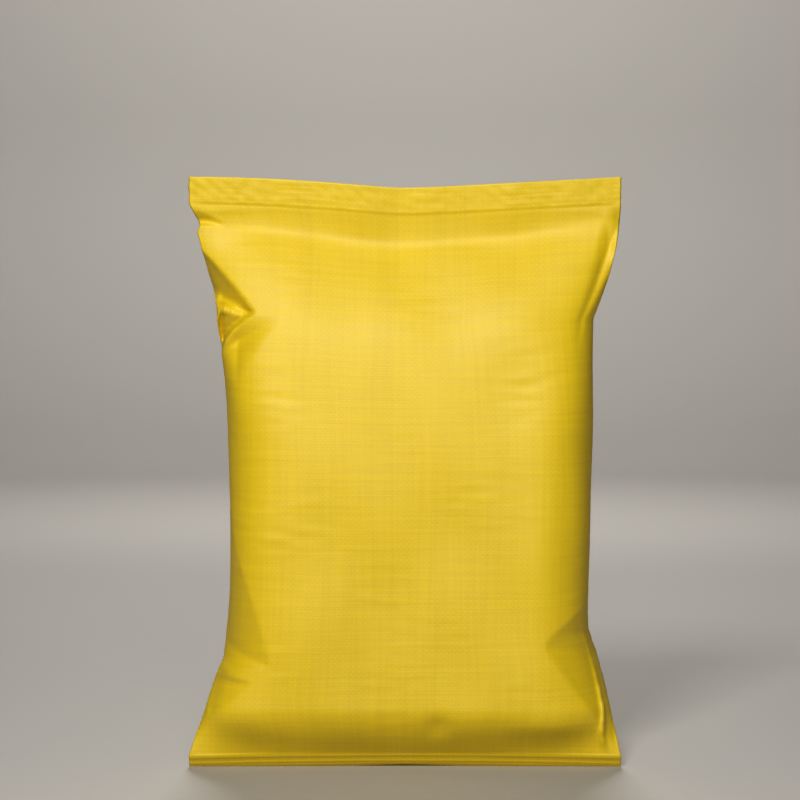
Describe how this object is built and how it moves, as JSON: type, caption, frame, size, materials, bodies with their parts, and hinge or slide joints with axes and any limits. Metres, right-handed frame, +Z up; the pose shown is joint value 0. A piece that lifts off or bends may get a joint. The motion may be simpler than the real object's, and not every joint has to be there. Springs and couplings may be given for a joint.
{
  "type": "filled woven polypropylene sack",
  "caption": "Upright filled pillow sack of woven polypropylene cloth, flat folded hems across top and bottom, pinched folds at its corners; holds and ships dry goods.",
  "frame": {"origin": "on the floor under the middle of the sack, at the centre of the box around it", "axes": "+Z up along the sack from the bottom hem to the top hem, +X to the right of the front panel, +Y to the back"},
  "size_m": [0.4, 0.1176, 0.546],
  "materials": {
    "woven_cloth": "satin laminated woven polypropylene tape, plain weave"
  },
  "bodies": {
    "root": {"woven_sack": "woven_cloth"}
  },
  "joints": []
}
